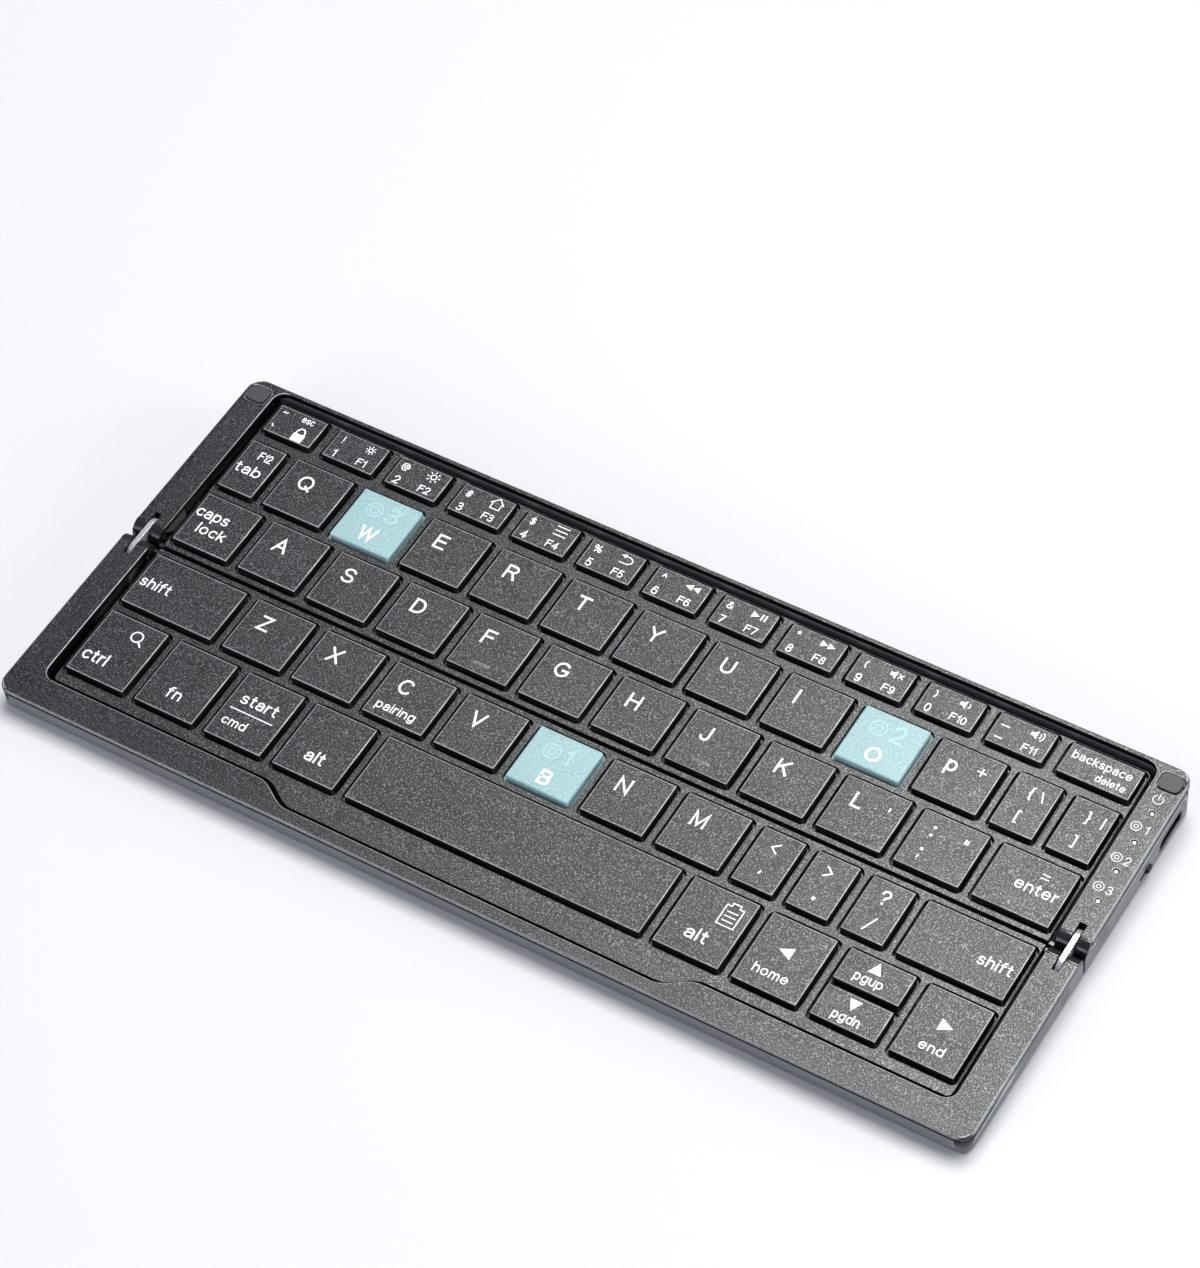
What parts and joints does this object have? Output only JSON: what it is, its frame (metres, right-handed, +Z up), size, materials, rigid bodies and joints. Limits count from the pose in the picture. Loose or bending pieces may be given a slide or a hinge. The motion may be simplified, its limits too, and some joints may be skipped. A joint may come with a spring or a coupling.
{
  "type": "folding keyboard",
  "caption": "Pocket keyboard in two halves that fold face to face on a steel link at each end, with sprung low-profile keys, a raised rear edge, a charging socket and a slide switch.",
  "frame": {"origin": "on the table under the fold line, midway between the two ends", "axes": "+X to the typist's right along the keyboard's length, +Y away from the typist, +Z up from the table"},
  "size_m": [0.2024, 0.0867, 0.0098],
  "materials": {
    "bezel_plastic": "fine spark-eroded grain, charcoal black",
    "deck_plastic": "fine grain, charcoal black",
    "key_plastic": "grained charcoal black with printed legends",
    "accent_key": "grained pale cyan",
    "case_plastic": "satin dark grey",
    "switch_plastic": "satin black",
    "light_lens": "translucent milky white",
    "bumper_rubber": "matt grey silicone",
    "foot_rubber": "matt black silicone",
    "dome_rubber": "dark grey silicone",
    "plate_steel": "black-painted steel sheet",
    "link_steel": "polished stainless steel",
    "screw_steel": "black zinc-plated steel",
    "socket_steel": "nickel-plated steel",
    "board": "green solder mask",
    "battery_pouch": "laminated pouch foil"
  },
  "bodies": {
    "rear_half": {"rear_bezel": "bezel_plastic", "rear_key_deck": "deck_plastic", "rear_bottom_case": "case_plastic", "rear_base_plate": "plate_steel", "rear_membrane": "dome_rubber", "main_board": "board", "battery": "battery_pouch", "usb_port": "socket_steel", "switch_housing": "socket_steel", "status_lights": "light_lens", "bumper_pads": "bumper_rubber", "rear_feet": "foot_rubber", "rear_screws": "screw_steel", "rear_hinge_pins": "link_steel", "rear_side_plugs": "case_plastic"},
    "hinge_links": {"left_link": "link_steel", "right_link": "link_steel"},
    "front_half": {"front_bezel": "bezel_plastic", "front_key_deck": "deck_plastic", "front_bottom_case": "case_plastic", "front_base_plate": "plate_steel", "front_membrane": "dome_rubber", "front_feet": "foot_rubber", "front_screws": "screw_steel", "front_hinge_pins": "link_steel", "front_side_plugs": "case_plastic"},
    "power_switch": {"power_switch": "switch_plastic"},
    "key_esc": {"key_esc": "key_plastic"},
    "keys_1_to_5": {"keys_1_to_5": "key_plastic"},
    "keys_6_to_minus": {"keys_6_to_minus": "key_plastic"},
    "key_backspace": {"key_backspace": "key_plastic"},
    "key_tab": {"key_tab": "key_plastic"},
    "key_q": {"key_q": "key_plastic"},
    "key_w": {"key_w": "accent_key"},
    "keys_e_r_t": {"keys_e_r_t": "key_plastic"},
    "keys_y_u_i": {"keys_y_u_i": "key_plastic"},
    "key_o": {"key_o": "accent_key"},
    "key_p": {"key_p": "key_plastic"},
    "keys_brackets": {"keys_brackets": "key_plastic"},
    "key_caps_lock": {"key_caps_lock": "key_plastic"},
    "keys_a_s_d": {"keys_a_s_d": "key_plastic"},
    "key_f": {"key_f": "key_plastic"},
    "keys_g_h": {"keys_g_h": "key_plastic"},
    "key_j": {"key_j": "key_plastic"},
    "keys_k_to_semicolon": {"keys_k_to_semicolon": "key_plastic"},
    "key_enter": {"key_enter": "key_plastic"},
    "key_left_shift": {"key_left_shift": "key_plastic"},
    "keys_z_x_c_v": {"keys_z_x_c_v": "key_plastic"},
    "key_b": {"key_b": "accent_key"},
    "keys_n_m": {"keys_n_m": "key_plastic"},
    "keys_comma_to_slash": {"keys_comma_to_slash": "key_plastic"},
    "key_right_shift": {"key_right_shift": "key_plastic"},
    "keys_ctrl_fn_start": {"keys_ctrl_fn_start": "key_plastic"},
    "key_left_alt": {"key_left_alt": "key_plastic"},
    "space_bar": {"space_bar": "key_plastic"},
    "key_right_alt": {"key_right_alt": "key_plastic"},
    "key_left": {"key_left": "key_plastic"},
    "key_up": {"key_up": "key_plastic"},
    "key_down": {"key_down": "key_plastic"},
    "key_right": {"key_right": "key_plastic"}
  },
  "joints": [
    {"name": "rear_link_pivot", "type": "hinge", "parent": "rear_half", "child": "hinge_links", "pos_m": [0, 0.00297, 0.00523], "axis": [-1, 0, 0], "range_deg": [0, 90]},
    {"name": "front_link_pivot", "type": "hinge", "parent": "hinge_links", "child": "front_half", "pos_m": [0, -0.00273, 0.00496], "axis": [-1, 0, 0], "range_deg": [0, 90]},
    {"name": "power_switch_slide", "type": "slide", "parent": "rear_half", "child": "power_switch", "axis": [0, -0.9988, -0.048], "range_m": [0, 0.002]},
    {"name": "key_esc_press", "type": "slide", "parent": "rear_half", "child": "key_esc", "axis": [0, 0.048, -0.9988], "range_m": [0, 0.001], "stiffness_N_per_m": 300, "springref_m": -0.0005},
    {"name": "keys_1_to_5_press", "type": "slide", "parent": "rear_half", "child": "keys_1_to_5", "axis": [0, 0.048, -0.9988], "range_m": [0, 0.001], "stiffness_N_per_m": 300, "springref_m": -0.0005},
    {"name": "keys_6_to_minus_press", "type": "slide", "parent": "rear_half", "child": "keys_6_to_minus", "axis": [0, 0.048, -0.9988], "range_m": [0, 0.001], "stiffness_N_per_m": 300, "springref_m": -0.0005},
    {"name": "key_backspace_press", "type": "slide", "parent": "rear_half", "child": "key_backspace", "axis": [0, 0.048, -0.9988], "range_m": [0, 0.001], "stiffness_N_per_m": 300, "springref_m": -0.0005},
    {"name": "key_tab_press", "type": "slide", "parent": "rear_half", "child": "key_tab", "axis": [0, 0.048, -0.9988], "range_m": [0, 0.001], "stiffness_N_per_m": 300, "springref_m": -0.0005},
    {"name": "key_q_press", "type": "slide", "parent": "rear_half", "child": "key_q", "axis": [0, 0.048, -0.9988], "range_m": [0, 0.001], "stiffness_N_per_m": 300, "springref_m": -0.0005},
    {"name": "key_w_press", "type": "slide", "parent": "rear_half", "child": "key_w", "axis": [0, 0.048, -0.9988], "range_m": [0, 0.001], "stiffness_N_per_m": 300, "springref_m": -0.0005},
    {"name": "keys_e_r_t_press", "type": "slide", "parent": "rear_half", "child": "keys_e_r_t", "axis": [0, 0.048, -0.9988], "range_m": [0, 0.001], "stiffness_N_per_m": 300, "springref_m": -0.0005},
    {"name": "keys_y_u_i_press", "type": "slide", "parent": "rear_half", "child": "keys_y_u_i", "axis": [0, 0.048, -0.9988], "range_m": [0, 0.001], "stiffness_N_per_m": 300, "springref_m": -0.0005},
    {"name": "key_o_press", "type": "slide", "parent": "rear_half", "child": "key_o", "axis": [0, 0.048, -0.9988], "range_m": [0, 0.001], "stiffness_N_per_m": 300, "springref_m": -0.0005},
    {"name": "key_p_press", "type": "slide", "parent": "rear_half", "child": "key_p", "axis": [0, 0.048, -0.9988], "range_m": [0, 0.001], "stiffness_N_per_m": 300, "springref_m": -0.0005},
    {"name": "keys_brackets_press", "type": "slide", "parent": "rear_half", "child": "keys_brackets", "axis": [0, 0.048, -0.9988], "range_m": [0, 0.001], "stiffness_N_per_m": 300, "springref_m": -0.0005},
    {"name": "key_caps_lock_press", "type": "slide", "parent": "rear_half", "child": "key_caps_lock", "axis": [0, 0.048, -0.9988], "range_m": [0, 0.001], "stiffness_N_per_m": 300, "springref_m": -0.0005},
    {"name": "keys_a_s_d_press", "type": "slide", "parent": "rear_half", "child": "keys_a_s_d", "axis": [0, 0.048, -0.9988], "range_m": [0, 0.001], "stiffness_N_per_m": 300, "springref_m": -0.0005},
    {"name": "key_f_press", "type": "slide", "parent": "rear_half", "child": "key_f", "axis": [0, 0.048, -0.9988], "range_m": [0, 0.001], "stiffness_N_per_m": 300, "springref_m": -0.0005},
    {"name": "keys_g_h_press", "type": "slide", "parent": "rear_half", "child": "keys_g_h", "axis": [0, 0.048, -0.9988], "range_m": [0, 0.001], "stiffness_N_per_m": 300, "springref_m": -0.0005},
    {"name": "key_j_press", "type": "slide", "parent": "rear_half", "child": "key_j", "axis": [0, 0.048, -0.9988], "range_m": [0, 0.001], "stiffness_N_per_m": 300, "springref_m": -0.0005},
    {"name": "keys_k_to_semicolon_press", "type": "slide", "parent": "rear_half", "child": "keys_k_to_semicolon", "axis": [0, 0.048, -0.9988], "range_m": [0, 0.001], "stiffness_N_per_m": 300, "springref_m": -0.0005},
    {"name": "key_enter_press", "type": "slide", "parent": "rear_half", "child": "key_enter", "axis": [0, 0.048, -0.9988], "range_m": [0, 0.001], "stiffness_N_per_m": 300, "springref_m": -0.0005},
    {"name": "key_left_shift_press", "type": "slide", "parent": "front_half", "child": "key_left_shift", "axis": [0, 0.048, -0.9988], "range_m": [0, 0.001], "stiffness_N_per_m": 300, "springref_m": -0.0005},
    {"name": "keys_z_x_c_v_press", "type": "slide", "parent": "front_half", "child": "keys_z_x_c_v", "axis": [0, 0.048, -0.9988], "range_m": [0, 0.001], "stiffness_N_per_m": 300, "springref_m": -0.0005},
    {"name": "key_b_press", "type": "slide", "parent": "front_half", "child": "key_b", "axis": [0, 0.048, -0.9988], "range_m": [0, 0.001], "stiffness_N_per_m": 300, "springref_m": -0.0005},
    {"name": "keys_n_m_press", "type": "slide", "parent": "front_half", "child": "keys_n_m", "axis": [0, 0.048, -0.9988], "range_m": [0, 0.001], "stiffness_N_per_m": 300, "springref_m": -0.0005},
    {"name": "keys_comma_to_slash_press", "type": "slide", "parent": "front_half", "child": "keys_comma_to_slash", "axis": [0, 0.048, -0.9988], "range_m": [0, 0.001], "stiffness_N_per_m": 300, "springref_m": -0.0005},
    {"name": "key_right_shift_press", "type": "slide", "parent": "front_half", "child": "key_right_shift", "axis": [0, 0.048, -0.9988], "range_m": [0, 0.001], "stiffness_N_per_m": 300, "springref_m": -0.0005},
    {"name": "keys_ctrl_fn_start_press", "type": "slide", "parent": "front_half", "child": "keys_ctrl_fn_start", "axis": [0, 0.048, -0.9988], "range_m": [0, 0.001], "stiffness_N_per_m": 300, "springref_m": -0.0005},
    {"name": "key_left_alt_press", "type": "slide", "parent": "front_half", "child": "key_left_alt", "axis": [0, 0.048, -0.9988], "range_m": [0, 0.001], "stiffness_N_per_m": 300, "springref_m": -0.0005},
    {"name": "space_bar_press", "type": "slide", "parent": "front_half", "child": "space_bar", "axis": [0, 0.048, -0.9988], "range_m": [0, 0.001], "stiffness_N_per_m": 300, "springref_m": -0.0005},
    {"name": "key_right_alt_press", "type": "slide", "parent": "front_half", "child": "key_right_alt", "axis": [0, 0.048, -0.9988], "range_m": [0, 0.001], "stiffness_N_per_m": 300, "springref_m": -0.0005},
    {"name": "key_left_press", "type": "slide", "parent": "front_half", "child": "key_left", "axis": [0, 0.048, -0.9988], "range_m": [0, 0.001], "stiffness_N_per_m": 300, "springref_m": -0.0005},
    {"name": "key_up_press", "type": "slide", "parent": "front_half", "child": "key_up", "axis": [0, 0.048, -0.9988], "range_m": [0, 0.001], "stiffness_N_per_m": 300, "springref_m": -0.0005},
    {"name": "key_down_press", "type": "slide", "parent": "front_half", "child": "key_down", "axis": [0, 0.048, -0.9988], "range_m": [0, 0.001], "stiffness_N_per_m": 300, "springref_m": -0.0005},
    {"name": "key_right_press", "type": "slide", "parent": "front_half", "child": "key_right", "axis": [0, 0.048, -0.9988], "range_m": [0, 0.001], "stiffness_N_per_m": 300, "springref_m": -0.0005}
  ]
}
